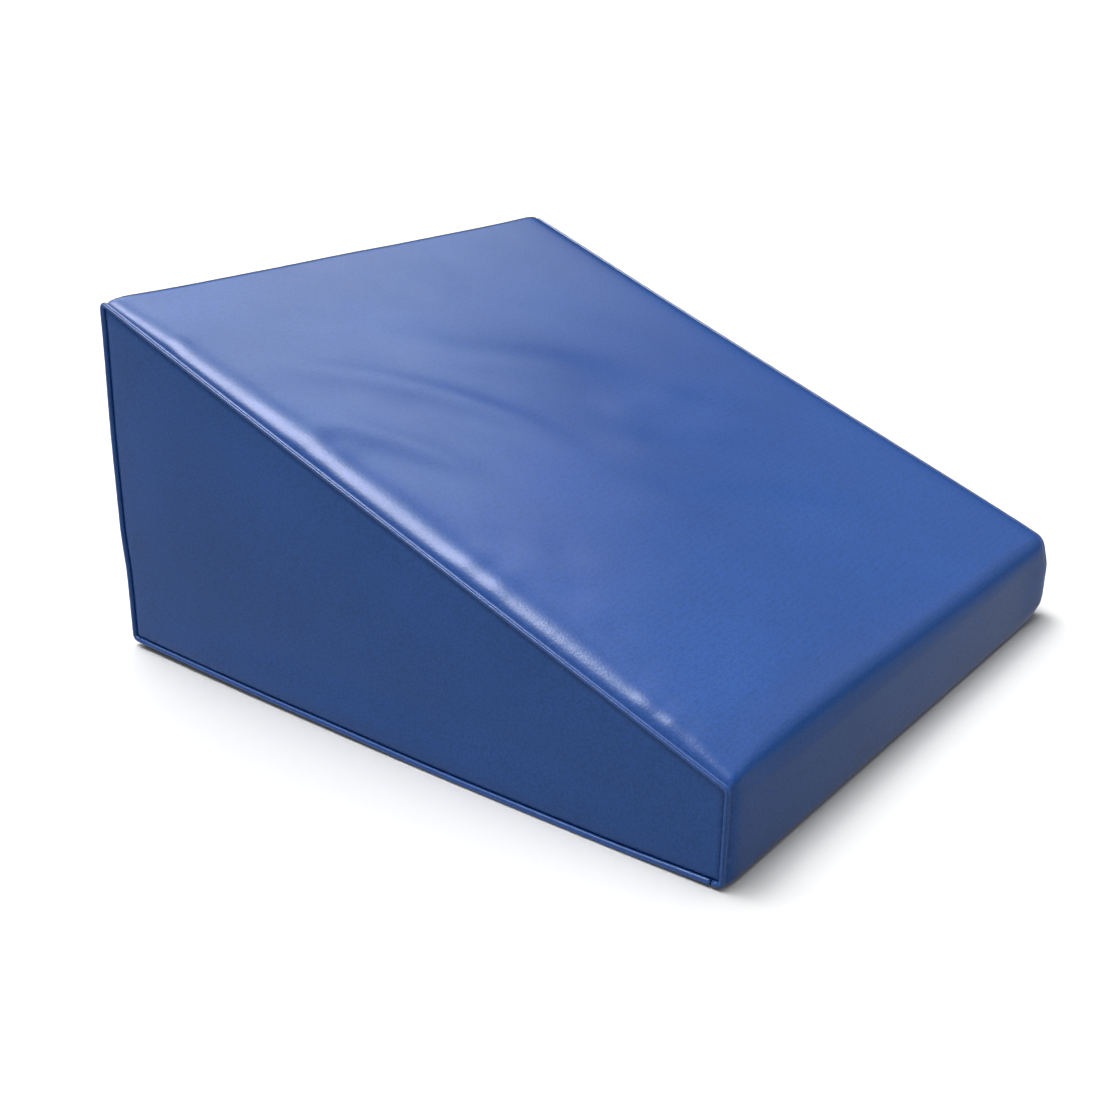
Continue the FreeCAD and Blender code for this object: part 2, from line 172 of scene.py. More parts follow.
RAISE = 4 * MM                         # how much taller the filled cover stands
RAISED_AT = 40 * MM                    # the height where it has risen by all of that
BACK_RISE_START = 60 * MM              # at the back it starts to rise this high, at the zip
BACK_RISE_SPAN = 75 * MM               # and takes this much more height over it
RAMP_SAG = 1.5 * MM                    # how far the middle of the ramp sags
LEFT_HOLD = 0.8 * MM                   # how much less it sags at the left
BACK_SWELL = 3 * MM                    # how far the back swells out over the zip
# How high the bottom seams stand over the floor, from the back 0 to the front 1, in millimetres
LEFT_FOOT_RISE = ((0, 4), (0.35, 2.2), (0.65, 0.2), (0.84, 0), (1, 1.5))
RIGHT_FOOT_RISE = ((0, 3), (0.2, 0.2), (0.8, 0), (1, 3))
BELLY = 5 * MM                         # how far the side seams bow out along the floor
PULL = 4 * MM                          # how far the right-hand seam lies down the side
PULL_REACH = 7 * MM                    # how far in from that seam the cover is pulled with it
EDGE_BAND = 45 * MM                    # how far in the bottom seams move the cover with them
FOOT_BAND = 50 * MM                    # and how far up
FOLD_BAND = 20 * MM                    # how far from the ramp and the front the pull fades
# How far out the right-hand front corner swells: (height over the floor, distance)
CORNER_SWELL = ((0, -1 * MM), (14 * MM, 3.5 * MM), (42 * MM, 3.5 * MM), (70 * MM, 0))
CORNER_REACH = 40 * MM


def settle(points):
    """The points where the tailored shape ends up once foam fills it."""
    p = np.array(points, float)
    x, y, z = p[..., 0], p[..., 1], p[..., 2]
    ramp = FRONT_HEIGHT + (y + HALF_LENGTH) * SLOPE
    run = np.clip((HALF_LENGTH - y) / (2 * HALF_LENGTH), 0, 1)
    leftness = smooth(x, 0.25, -0.28)
    aft = smooth(y, 180 * MM, 290 * MM)
    top = np.clip(z / ramp, 0, 1.1) ** 2
    bow = np.sin(math.pi * run) ** 1.3 * along(run, (0.3, 1.0), (0.9, 0.75))
    shift_z = top * bow * (LEFT_HOLD * leftness - RAMP_SAG)
    raised_over = RAISED_AT + (BACK_RISE_SPAN - RAISED_AT) * aft
    shift_z = shift_z + RAISE * smooth(z - BACK_RISE_START * aft, 0, raised_over)
    behind = smooth(y, 0.0, HALF_LENGTH)
    shift_y = BACK_SWELL * behind * smooth(z, 62 * MM, 110 * MM) * smooth(z, 296 * MM, 170 * MM)
    edge = smooth(np.abs(x), HALF_WIDTH - EDGE_BAND, HALF_WIDTH)
    low = smooth(z, FOOT_BAND, 0)
    foot = np.where(x < 0, along(run, *LEFT_FOOT_RISE), along(run, *RIGHT_FOOT_RISE)) * MM
    shift_z = shift_z + foot * edge * low
    belly = edge * np.sin(math.pi * run) ** 0.8 * low
    shift_x = np.sign(x) * BELLY * belly
    # The cover is pulled over the right-hand edges, so that its seam lies a little way down them
    pulled = np.exp(np.minimum(0, x - HALF_WIDTH) / PULL_REACH)
    shift_z = shift_z - PULL * pulled * np.exp(np.minimum(0, z - ramp) / FOLD_BAND)
    over_floor = smooth(z, -25 * MM, 8 * MM)
    shift_y = shift_y + PULL * pulled * np.exp((-HALF_LENGTH - y) / FOLD_BAND) * over_floor
    # The foam fills the right-hand front corner out, most of all a little way over the floor
    from_corner = np.hypot(HALF_WIDTH - x, y + HALF_LENGTH)
    swell = along(z, *CORNER_SWELL) * np.exp(-((from_corner / CORNER_REACH) ** 2))
    return p + np.stack([shift_x + swell, shift_y - swell, shift_z], axis=-1)


# Materials. Every one is worked out from an object's own coordinates, in metres

class Shader:
    """A new material with its Principled shader, and short ways to add nodes to it."""

    def __init__(self, name, color, roughness, ior=1.5):
        self.material = bpy.data.materials.new(name)
        self.material.use_nodes = True
        self.tree = self.material.node_tree
        self.principled = self.tree.nodes["Principled BSDF"]
        self.principled.inputs["Base Color"].default_value = (*color, 1)
        self.principled.inputs["Roughness"].default_value = roughness
        self.principled.inputs["IOR"].default_value = ior
        self.place = self.add("ShaderNodeTexCoord").outputs["Object"]

    def add(self, kind, links=None, **settings):
        """A node whose inputs are linked to outputs or set to values."""
        node = self.tree.nodes.new(kind)
        for key, setting in settings.items():
            setattr(node, key, setting)
        for key, source in (links or {}).items():
            if isinstance(source, bpy.types.NodeSocket):
                self.tree.links.new(source, node.inputs[key])
            else:
                node.inputs[key].default_value = source
        return node

    def link(self, source, name):
        self.tree.links.new(source, self.principled.inputs[name])

    def stretched(self, scale):
        """The object's coordinates, stretched along each axis."""
        return self.add("ShaderNodeMapping", {"Vector": self.place, "Scale": scale}).outputs[0]

    def noise(self, scale, detail=3, place=None, roughness=0.5):
        """Smooth noise, scale features to the metre."""
        links = {"Vector": place or self.place, "Scale": scale, "Detail": detail, "Roughness": roughness}
        return self.add("ShaderNodeTexNoise", links).outputs["Fac"]

    def cells(self, scale, place=None, scatter=1.0):
        """Distance from the middle of scattered cells, scale cells to the metre."""
        links = {"Vector": place or self.place, "Scale": scale, "Randomness": scatter}
        return self.add("ShaderNodeTexVoronoi", links).outputs["Distance"]

    def spread(self, source, low, high, to_low, to_high):
        """Maps a value from one range to another."""
        links = {"Value": source, "From Min": low, "From Max": high, "To Min": to_low, "To Max": to_high}
        return self.add("ShaderNodeMapRange", links).outputs["Result"]

    def maths(self, operation, a, b):
        return self.add("ShaderNodeMath", {0: a, 1: b}, operation=operation).outputs[0]

    def mix(self, share, a, b):
        """A colour between a and b. Colours are tuples or outputs."""
        node = self.add("ShaderNodeMix", data_type="RGBA")
        for index, source in ((0, share), (6, a), (7, b)):
            if isinstance(source, bpy.types.NodeSocket):
                self.tree.links.new(source, node.inputs[index])
            else:
                node.inputs[index].default_value = (*source, 1) if isinstance(source, tuple) else source
        return node.outputs[2]

    def bump(self, height, strength, distance, before=None):
        """A bump of a height that swings by distance, in metres."""
        node = self.add("ShaderNodeBump", {"Height": height, "Strength": strength, "Distance": distance})
        if before is not None:
            self.tree.links.new(before, node.inputs["Normal"])
        return node.outputs["Normal"]


def scaled(color, factor):
    return tuple(channel * factor for channel in color)


ROYAL_BLUE = (0.0175, 0.073, 0.262)
SCUFFED_BLUE = (0.060, 0.130, 0.400)


def vinyl_material(name="satin_vinyl", tightness=0.0):
    """Satin coated cloth with an embossed pebble grain, faintly uneven and scuffed at its edges.

    Where it is drawn tight round a cord, it is glossier and its grain is flatter.
    """
    if name in bpy.data.materials:
        return bpy.data.materials[name]
    shader = Shader(name, ROYAL_BLUE, 0.22, ior=1.4 + 0.15 * tightness)
    warp = shader.noise(150, 2)
    shift = shader.add("ShaderNodeVectorMath", {0: warp, 1: (0.0005, 0.0005, 0.0005)}, operation="MULTIPLY")
    place = shader.add("ShaderNodeVectorMath", {0: shader.place, 1: shift.outputs[0]}, operation="ADD")
    pebbles = shader.cells(480, place.outputs[0], 0.7)
    pores = shader.noise(2600, 2)
    mottle = shader.noise(7, 3)
    cloud = shader.noise(38, 3)
    deeper, paler = scaled(ROYAL_BLUE, 0.93), scaled(ROYAL_BLUE, 1.07)
    tone = shader.mix(shader.spread(mottle, 0.3, 0.7, 0, 1), deeper, paler)
    # Painted shade: the colour darkens between the pebbles, standing in for the shade that the embossed
    # grain casts
    tone = shader.mix(shader.spread(pebbles, 0.3, 0.75, 0, 0.42), tone, scaled(ROYAL_BLUE, 0.5))
    edge = shader.add("ShaderNodeAttribute", attribute_name="edge").outputs["Fac"]
    scuff = shader.maths("MULTIPLY", edge, shader.spread(shader.noise(210, 4), 0.5, 0.68, 0, 0.2))
    shader.link(shader.mix(scuff, tone, SCUFFED_BLUE), "Base Color")
    gloss = shader.spread(cloud, 0.25, 0.75, 0.19 - 0.06 * tightness, 0.26 - 0.09 * tightness)
    shader.link(shader.maths("ADD", gloss, shader.maths("MULTIPLY", scuff, 0.35)), "Roughness")
    grain = shader.bump(pebbles, 0.42 - 0.28 * tightness, 0.00012)
    shader.link(shader.bump(pores, 0.3, 0.00003, grain), "Normal")
    return shader.material


def foam_material():
    """Pale cut foam: fine open cells, with a few larger ones."""
    shader = Shader("cut_foam", (0.78, 0.74, 0.60), 0.95, ior=1.4)
    cells = shader.cells(900)
    pits = shader.cells(260)
    tone = shader.mix(shader.spread(cells, 0, 0.6, 0, 1), (0.60, 0.55, 0.42), (0.80, 0.76, 0.63))
    shader.link(shader.mix(shader.spread(pits, 0, 0.2, 1, 0), tone, (0.50, 0.45, 0.34)), "Base Color")
    shader.link(shader.bump(pits, 0.4, 0.0005, shader.bump(cells, 0.8, 0.0003)), "Normal")
    shader.principled.inputs["Subsurface Weight"].default_value = 0.15
    shader.principled.inputs["Subsurface Radius"].default_value = (0.004, 0.003, 0.002)
    return shader.material


def grip_material():
    """Dark, slightly dusty coated cloth, with dots of paler and smoother rubber on it."""
    shader = Shader("grip_rubber", (0.022, 0.026, 0.038), 0.72, ior=1.5)
    dot = shader.add("ShaderNodeAttribute", attribute_name="dot").outputs["Fac"]
    dust = shader.spread(shader.noise(30, 4), 0.45, 0.75, 0, 0.5)
    cloth = shader.mix(dust, (0.020, 0.024, 0.036), (0.060, 0.062, 0.068))
    rubber = shader.mix(dust, (0.085, 0.092, 0.105), (0.130, 0.132, 0.138))
    shader.link(shader.mix(dot, cloth, rubber), "Base Color")
    wear = shader.spread(shader.noise(60, 3), 0.3, 0.7, 0.66, 0.8)
    shader.link(shader.maths("SUBTRACT", wear, shader.maths("MULTIPLY", dot, 0.24)), "Roughness")
    shader.link(shader.bump(shader.noise(1400, 3), 0.5, 0.00012), "Normal")
    return shader.material


def filler_material():
    """Pale twisted cotton cord."""
    shader = Shader("cotton_filler", (0.76, 0.75, 0.70), 0.9)
    strands = shader.cells(1500, place=shader.stretched((1, 0.3, 0.3)))
    tone = shader.mix(shader.spread(strands, 0, 0.6, 0, 1), (0.60, 0.58, 0.52), (0.82, 0.81, 0.77))
    shader.link(tone, "Base Color")
    shader.link(shader.bump(strands, 0.7, 0.0002), "Normal")
    return shader.material


def tape_material():
    """Woven zip tape: fine warp threads along the zip and weft threads across it."""
    shader = Shader("woven_tape", (0.018, 0.038, 0.14), 0.8)
    waves = []
    for axis, pitch in (("X", 0.00055), ("Z", 0.0007)):
        # A wave texture has 20 / (2 pi) bands to the metre at a scale of 1
        links = {"Vector": shader.place, "Scale": 2 * math.pi / (20 * pitch), "Distortion": 0.0}
        wave = shader.add("ShaderNodeTexWave", links, bands_direction=axis, wave_profile="SIN")
        waves.append(wave.outputs["Fac"])
    weave = shader.maths("MAXIMUM", *waves)
    shader.link(shader.mix(weave, (0.010, 0.022, 0.085), (0.026, 0.055, 0.19)), "Base Color")
    fuzz = shader.bump(shader.noise(3000, 2), 0.3, 0.0001)
    shader.link(shader.bump(weave, 0.8, 0.00018, fuzz), "Normal")
    shader.principled.inputs["Sheen Weight"].default_value = 0.25
    shader.principled.inputs["Sheen Roughness"].default_value = 0.5
    return shader.material


def moulded_material():
    """Moulded plastic of the teeth and stops, with its satin skin and faint flow marks."""
    shader = Shader("moulded_teeth", (0.020, 0.045, 0.17), 0.36, ior=1.49)
    flow = shader.noise(420, 3)
    shader.link(shader.mix(flow, (0.016, 0.036, 0.14), (0.026, 0.056, 0.21)), "Base Color")
    shader.link(shader.spread(flow, 0.3, 0.7, 0.30, 0.44), "Roughness")
    shader.link(shader.bump(shader.noise(2400, 2), 0.25, 0.00005), "Normal")
    return shader.material


def metal_material():
    """Enamelled die-cast metal, worn to bare metal in small chips."""
    shader = Shader("enamelled_metal", (0.030, 0.062, 0.20), 0.30, ior=1.5)
    chips = shader.spread(shader.noise(950, 5, roughness=0.65), 0.635, 0.66, 0, 1)
    haze = shader.noise(260, 3)
    enamel = shader.mix(haze, (0.024, 0.052, 0.17), (0.036, 0.074, 0.23))
    shader.link(shader.mix(chips, enamel, (0.55, 0.55, 0.56)), "Base Color")
    shader.link(chips, "Metallic")
    shader.link(shader.spread(haze, 0.3, 0.7, 0.24, 0.40), "Roughness")
    shader.link(shader.bump(shader.maths("SUBTRACT", haze, chips), 0.3, 0.00006), "Normal")
    shader.principled.inputs["Coat Weight"].default_value = 0.25
    return shader.material


def thread_material():
    """Bonded polyester sewing thread, twisted from three plies."""
    if "sewing_thread" in bpy.data.materials:
        return bpy.data.materials["sewing_thread"]
    shader = Shader("sewing_thread", (0.050, 0.105, 0.33), 0.55)
    plies = shader.noise(2600, 2, shader.stretched((1.0, 0.4, 1.6)))
    shader.link(shader.mix(plies, (0.030, 0.070, 0.24), (0.085, 0.155, 0.44)), "Base Color")
    shader.link(shader.bump(plies, 0.6, 0.0001), "Normal")
    return shader.material


def finish_piece(piece, body, material, slot, *nodes):
    """Gives a piece its material, stands it for its CAD nodes and joins it to a body. The slot is not used.
    """
    piece.data.materials.clear()
    piece.data.materials.append(material)
    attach(piece, body)
    if nodes:
        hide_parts(*nodes)


def mark_points(piece, values, name="edge"):
    """Stores a value for each point. As edge, it says how near a sewn or folded edge is, 0 to 1."""
    attribute = piece.data.attributes.new(name, "FLOAT", "POINT")
    attribute.data.foreach_set("value", np.asarray(values, np.float32).ravel())


# The wrap panel and the strip below the zip: rows follow the cover over its folds, columns
# cross it from side to side

SEAM_GAP = 1.9 * MM                    # a panel's edge to the face of the panel across the welt
CREASE = 2.4 * MM                      # how far below its own face a panel meets the welt
CREASE_EASE = 2.2 * MM                 # how fast a cross panel comes up out of the crease
SIDE_CREASE = 3.0 * MM                 # the same for a side panel
SIDE_CREASE_EASE = 1.9 * MM
PANEL_EDGE = HALF_WIDTH - SEAM_GAP


class Run:
    """One straight run of an outline in the mat's YZ plane, with its outward normal."""

    def __init__(self, start, end, pitch):
        self.start = np.array(start, float)
        span = np.array(end, float) - self.start
        self.length = np.linalg.norm(span)
        self.direction = span / self.length
        self.normal = np.array([self.direction[1], -self.direction[0]])
        self.steps = max(2, round(self.length / pitch))


def runs_through(corners, pitch):
    """The runs from corner to corner, with a row of points about every pitch."""
    return [Run(a, b, pitch) for a, b in zip(corners, corners[1:])]


FOLD_STEPS = 10                        # steps of points round a fold


def section(runs, radii):
    """Points and outward normals along runs whose corners are rounded to the given radii."""
    turns = []
    for first, second in zip(runs, runs[1:]):
        turns.append(math.acos(np.clip(np.dot(first.normal, second.normal), -1, 1)))
    setbacks = [0.0] + [r * math.tan(t / 2) for r, t in zip(radii, turns)] + [0.0]
    points, normals = [], []
    for i, run in enumerate(runs):
        for d in np.linspace(setbacks[i], run.length - setbacks[i + 1], run.steps + 1):
            points.append(run.start + run.direction * d)
            normals.append(run.normal)
        if i == len(turns):
            break
        centre = points[-1] - run.normal * radii[i]
        for step in range(1, FOLD_STEPS):
            angle = turns[i] * step / FOLD_STEPS
            normal = run.normal * math.sin(turns[i] - angle) + runs[i + 1].normal * math.sin(angle)
            normal = normal / math.sin(turns[i])
            points.append(centre + normal * radii[i])
            normals.append(normal)
    return np.array(points), np.array(normals)


# Radii of the cover's folds at the left seam, in the middle and at the right seam
BACK_FOLD = (3.5, 9, 3.5)
FRONT_FOLD = (4.5, 24, 14)
BASE_FOLD = (3.0, 6, 3.0)
FOLD_REACH = 28 * MM                   # how far in from a seam a fold loses its tightness

ROW_PITCH = 2.5 * MM
WRAP_RUNS = runs_through([
    (HALF_LENGTH, ZIP_HIGH), (HALF_LENGTH, BACK_HEIGHT), (-HALF_LENGTH, FRONT_HEIGHT),
    (-HALF_LENGTH, 0), (-HALF_LENGTH + HEM, 0),
], ROW_PITCH)
LOWER_RUNS = runs_through([
    (HALF_LENGTH - HEM, 0), (HALF_LENGTH, 0), (HALF_LENGTH, ZIP_LOW),
], ROW_PITCH)


def fold_radii(folds, x):
    """Each fold's radius in a column."""
    ease = 1 - math.exp(-(PANEL_EDGE - abs(x)) / FOLD_REACH)
    seams = [(left if x < 0 else right) for left, _, right in folds]
    return [(seam + (fold[1] - seam) * ease) * MM for seam, fold in zip(seams, folds)]


# How high the cover stands over its side seams along the ramp, and how far in from the seam
# it gets there: (place from the back 0 to the front 1, height, distance), in millimetres
LEFT_RISE = ((0, 5.5, 22), (0.12, 9.3, 27), (0.35, 14, 34), (0.75, 13, 31), (0.93, 11, 24), (1, 6, 13))
RIGHT_RISE = ((0, 4, 24), (0.15, 3.5, 20), (0.5, 3, 18), (0.85, 3, 16), (1, 2.5, 14))
FLAT_RISE = 2.5 * MM                   # the same on the back and the front
FLAT_REACH = 12 * MM
PINCH = 0.13                           # share of its reach that the rise loses at a pinch

# Where the left seam pinches the ramp: (place from the back 0 to the front 1, width)
PINCHES = ((0.12, 0.016), (0.355, 0.02), (0.395, 0.018), (0.615, 0.02), (0.66, 0.018),
           (0.875, 0.015), (0.91, 0.014))


def rolled(distance, reach):
    """The height of a roll, from 0 at its seam to about 1 at its reach, where it eases out."""
    even = 1 - (1 - np.clip(distance / reach, 0, 1)) ** 2
    easing = 1 - np.exp(-2 * distance / reach)
    return 0.35 * even + 0.65 * easing


def crown(points, normals, table, pinches=()):
    """For rows of a column: the cover's height over its seam and the reach of its rise."""
    t = (HALF_LENGTH - points[:, 0]) / (2 * HALF_LENGTH)
    height = along(t, *[(place, tall) for place, tall, _ in table]) * MM
    reach = along(t, *[(place, far) for place, _, far in table]) * MM
    for centre, width in pinches:
        reach = reach * (1 - PINCH * bump(t, centre, width))
    on_ramp = smooth(normals[:, 1], 0.25, 0.9)
    upright = smooth(normals[:, 1], -0.9, -0.1) * (1 - on_ramp)
    above_zip = smooth(points[:, 1], ZIP_HIGH + 12 * MM, 130 * MM)
    standing = np.where(points[:, 0] > 0, FLAT_RISE * above_zip, FLAT_RISE)
    height = height * on_ramp + standing * upright
    return height, reach * on_ramp + FLAT_REACH * (1 - on_ramp), on_ramp


# Soft folds that lie across the ramp: two ends (x, y), how far the fold bends to the side,
# its height and its half width, in millimetres
FOLDS = (
    ((-225, 165), (-70, 2), -16, 1.7, 18),
    ((-246, 92), (-186, -4), -5, 1.6, 15),
    ((-95, 150), (110, 52), 10, 1.75, 28),
    ((20, 12), (135, 4), 3, 0.8, 18),
    ((-30, -30), (115, -80), 4, 1.0, 22),
    ((-90, -90), (150, -215), -12, 1.2, 26),
)
# Shallow dents beside the left seam: (x, y), depth and radius, in millimetres
DENTS = (((-234, -67), 0.5, 15), ((-200, -99), 0.5, 17), ((-233, -132), 0.5, 14),
         ((-238, -174), 0.4, 13), ((-244, -205), 0.3, 11))


def fold_height(x, y):
    """Height of the soft folds and dents over a place on the ramp."""
    x, y = x / MM, y / MM
    total = 0.9 * wander(x * 0.8 + y * 0.35, 5, 330) * wander(y, 6, 410)
    for (x0, y0), (x1, y1), bend, height, width in FOLDS:
        length = math.hypot(x1 - x0, y1 - y0)
        ux, uy = (x1 - x0) / length, (y1 - y0) / length
        run = ((x - x0) * ux + (y - y0) * uy) / length
        side = (x - x0) * uy - (y - y0) * ux - 4 * bend * run * (1 - run)
        fade = smooth(run, -0.2, 0.2) * smooth(run, 1.15, 0.6)
        total = total + height * fade * (bump(side, 0, width) - 0.45 * bump(side, 1.9 * width, 1.2 * width))
    for (x0, y0), depth, radius in DENTS:
        total = total - depth * bump(np.hypot(x - x0, y - y0), 0, radius)
    return total * MM


PUCKER_PITCH = 9.5 * MM                # from ripple to ripple along a seam
PUCKER_REACH = 11 * MM                 # how far in from the seam they die away


def pucker(along_seam, inward, seed):
    """Fine ripples square to a seam, which die away from it."""
    s = along_seam / MM
    strength = (0.09 + 0.07 * wander(s, seed, 90)) * MM
    phase = along_seam * 2 * math.pi / PUCKER_PITCH + 1.4 * wander(s, seed + 1, 60)
    return strength * np.sin(phase) * np.exp(-inward / PUCKER_REACH)


# Along the zip each panel's edge is folded under, so that it is double there
FOLDED = 5.5 * MM
FOLDED_STEP = 0.45 * MM


def cross_panel(runs, folds, zip_first):
    """A panel from side seam to side seam, and how near each of its points is to an edge."""
    columns = spaced(EDGE_STEPS, -PANEL_EDGE, PANEL_EDGE, 5.5 * MM)
    strips, edges = [], []
    for x in columns:
        points, normals = section(runs, fold_radii(folds, x))
        left_height, left_reach, on_ramp = crown(points, normals, LEFT_RISE, PINCHES)
        right_height, right_reach, _ = crown(points, normals, RIGHT_RISE)
        share = smooth(x, -0.7 * HALF_WIDTH, 0.7 * HALF_WIDTH)
        height = left_height * (1 - share) + right_height * share
        from_left, from_right = x + PANEL_EDGE, PANEL_EDGE - x
        fill = rolled(from_left, left_reach) * rolled(from_right, right_reach)
        s = np.concatenate([[0], np.cumsum(np.linalg.norm(np.diff(points, axis=0), axis=1))])
        from_zip = s if zip_first else s[-1] - s
        standing = 1 - smooth(normals[:, 1], -0.3, -0.9)
        crease = math.exp(-from_left / CREASE_EASE) + math.exp(-from_right / CREASE_EASE)
        lift = height * fill - CREASE * crease
        lift = lift + on_ramp * fill * fold_height(x, points[:, 0])
        lift = lift + standing * fill * (pucker(s, from_left, 11) + pucker(s, from_right, 21))
        lift = lift + FOLDED_STEP * smooth(from_zip, FOLDED + 1.2 * MM, FOLDED - 0.8 * MM)
        strips.append(np.column_stack([np.full(len(points), x), points + normals * lift[:, None]]))
        seam = math.exp(-min(from_left, from_right) / (5 * MM))
        edges.append(np.maximum(seam, np.exp(-from_zip / (3 * MM))))
    return settle(np.stack(strips, axis=1)), np.stack(edges, axis=1)


def make_cross_panels():
    """The wrap panel and the strip below the zip."""
    panels = (
        ("wrap_panel", WRAP_RUNS, (BACK_FOLD, FRONT_FOLD, BASE_FOLD), True),
        ("back_lower_panel", LOWER_RUNS, (BASE_FOLD,), False),
    )
    for node, runs, folds, zip_first in panels:
        grid, edges = cross_panel(runs, folds, zip_first)
        piece = grid_piece(f"{node}_cover", grid, flip=True)
        mark_points(piece, edges)
        thicken(piece, VINYL)
        finish_piece(piece, "cover", vinyl_material(), "cover_vinyl", node)


# The side panels: columns from the front to the back, rows from the floor to the ramp

SIDE_FOOT = 3.5 * MM                   # lower edge of a side panel over the floor
SIDE_BULGE = 3.2 * MM
SIDE_EASE = 38 * MM                    # how far in from its edges a side panel swells
SIDE_ROWS = 64
SLANT = math.hypot(1, SLOPE)


def side_rows(top):
    """Heights of the points of a side panel's column whose upper edge is at top."""
    room = (top - SIDE_FOOT) / (2.4 * EDGE_STEPS[-1])
    steps = EDGE_STEPS * min(1, room)
    middle = np.linspace(SIDE_FOOT + steps[-1], top - steps[-1], SIDE_ROWS)[1:-1]
    return np.concatenate([SIDE_FOOT + steps, middle, (top - steps)[::-1]])


def side_grid(side):
    """A side panel, swollen by the foam and tucked in along its welts, and its edges."""
    front, back = -HALF_LENGTH + SEAM_GAP, HALF_LENGTH - SEAM_GAP
    strips, edges = [], []
    for y in spaced(EDGE_STEPS, front, back, 2.5 * MM):
        top = FRONT_HEIGHT + (y + HALF_LENGTH) * SLOPE - SEAM_GAP * SLANT
        z = side_rows(top)
        from_front, from_back = np.full(z.shape, y - front), np.full(z.shape, back - y)
        gaps = np.stack([from_front, from_back, z - SIDE_FOOT, (top - z) / SLANT])
        nearest = ((gaps + 0.01 * MM) ** -4.0).sum(axis=0) ** -0.25
        swell = SIDE_BULGE * np.prod(1 - np.exp(-gaps / SIDE_EASE), axis=0)
        uneven = wander(y + 0.4 * z, 31 + side, 0.42) * wander(z - 0.3 * y, 33 + side, 0.35)
        ripple = pucker(y - z * 0.6, nearest, 41 + side) * smooth(nearest, 0, 3 * MM)
        tuck = SIDE_CREASE * np.exp(-nearest / SIDE_CREASE_EASE)
        x = side * (HALF_WIDTH + swell * (1 + 0.2 * uneven) - tuck + 0.5 * ripple)
        strips.append(np.column_stack([x, np.full(z.shape, y), z]))
        edges.append(np.exp(-nearest / (5 * MM)))
    return settle(np.stack(strips, axis=1)), np.stack(edges, axis=1)


def make_side_panels():
    """Both wedge-shaped sides."""
    for side, name in SIDES:
        grid, edges = side_grid(side)
        piece = grid_piece(f"{name}_side_panel_cover", grid, flip=side == LEFT)
        mark_points(piece, edges)
        thicken(piece, VINYL)
        finish_piece(piece, "cover", vinyl_material(), "cover_vinyl", f"{name}_side_panel")


# The welts: a vinyl strip sewn round a cord, along every edge of the side panels

def rounded_route(corners, radii, pitch):
    """Points about every pitch along straight runs joined by tangent arcs."""
    corners = [np.array(c, float) for c in corners]
    points = [corners[0]]
    for before, corner, after, radius in zip(corners, corners[1:], corners[2:], radii):
        back_way = (before - corner) / np.linalg.norm(before - corner)
        on_way = (after - corner) / np.linalg.norm(after - corner)
        half = math.acos(np.clip(back_way @ on_way, -1, 1)) / 2
        setback = radius / math.tan(half)
        bisector = (back_way + on_way) / np.linalg.norm(back_way + on_way)
        centre = corner + bisector * radius / math.sin(half)
        entry, leave = corner + back_way * setback, corner + on_way * setback
        add_run(points, entry, pitch)
        turn = math.pi - 2 * half
        steps = max(3, round(turn / math.radians(9)))
        for step in range(1, steps + 1):
            share = step / steps
            from_entry = (entry - centre) * math.sin((1 - share) * turn)
            from_leave = (leave - centre) * math.sin(share * turn)
            points.append(centre + (from_entry + from_leave) / math.sin(turn))
    add_run(points, corners[-1], pitch)
    return np.array(points)


def add_run(points, end, pitch):
    """Adds points about every pitch from the last point to an end."""
    start = points[-1]
    count = max(1, round(np.linalg.norm(end - start) / pitch))
    for step in range(1, count + 1):
        points.append(start + (end - start) * step / count)


def rings(path, radii, sides, groove=None):
    """Circles of points round a path, one to each of its points, without twist.

    A groove runs along at an angle from the outward way, its depth and width beside it.
    """
    tangents = np.gradient(path, axis=0)
    tangents = tangents / np.linalg.norm(tangents, axis=1)[:, None]
    across = np.cross(tangents[0], (1.0, 0, 0))
    circles = []
    angles = np.linspace(0, 2 * math.pi, sides, endpoint=False)
    cut = np.zeros(sides)
    if groove is not None:
        place, depth, width = groove
        off = np.degrees(angles) - place
        cut = depth * bump((off + 180) % 360 - 180, 0, width)
    for point, tangent, radius in zip(path, tangents, radii):
        across = across - tangent * (across @ tangent)
        across = across / np.linalg.norm(across)
        up = np.cross(tangent, across)
        circle = np.outer(np.cos(angles), across) + np.outer(np.sin(angles), up)
        circles.append(point + circle * (radius - cut)[:, None])
    return np.array(circles)


def tube_piece(name, path, outer, sides, inner=None, groove=None):
    """A tube along a path, hollow if it has an inner radius, and closed at its ends."""
    outer = np.broadcast_to(outer, len(path))
    skin = rings(path, outer, sides, groove)
    count = len(path)
    points = list(skin.reshape(-1, 3))
    faces = grid_faces(count, sides, closed=True)
    if inner is None:
        first, last = len(points), len(points) + 1
        points += [path[0], path[-1]]
        end = (count - 1) * sides
        for j in range(sides):
            after = (j + 1) % sides
            faces.append((first, after, j))
            faces.append((last, end + j, end + after))
        return make_mesh(name, points, faces)
    bore = rings(path, np.full(count, inner), sides)
    start = len(points)
    points += list(bore.reshape(-1, 3))
    faces += grid_faces(count, sides, flip=True, start=start, closed=True)
    for row, turned in ((0, True), (count - 1, False)):
        for j in range(sides):
            a, b = row * sides + j, row * sides + (j + 1) % sides
            quad = (a, b, start + b, start + a)
            faces.append(quad[::-1] if turned else quad)
    return make_mesh(name, points, faces)


WELT_PITCH = 2 * MM
STRIP_SIDES, FILLER_SIDES = 60, 12     # points round a welt's strip and round its cord
# Where the strip of a wrap welt is drawn in by its seam: degrees from the outward way towards
# the side panel, depth, and width in degrees
SEAM_GROOVE = (50, 0.55 * MM, 12)


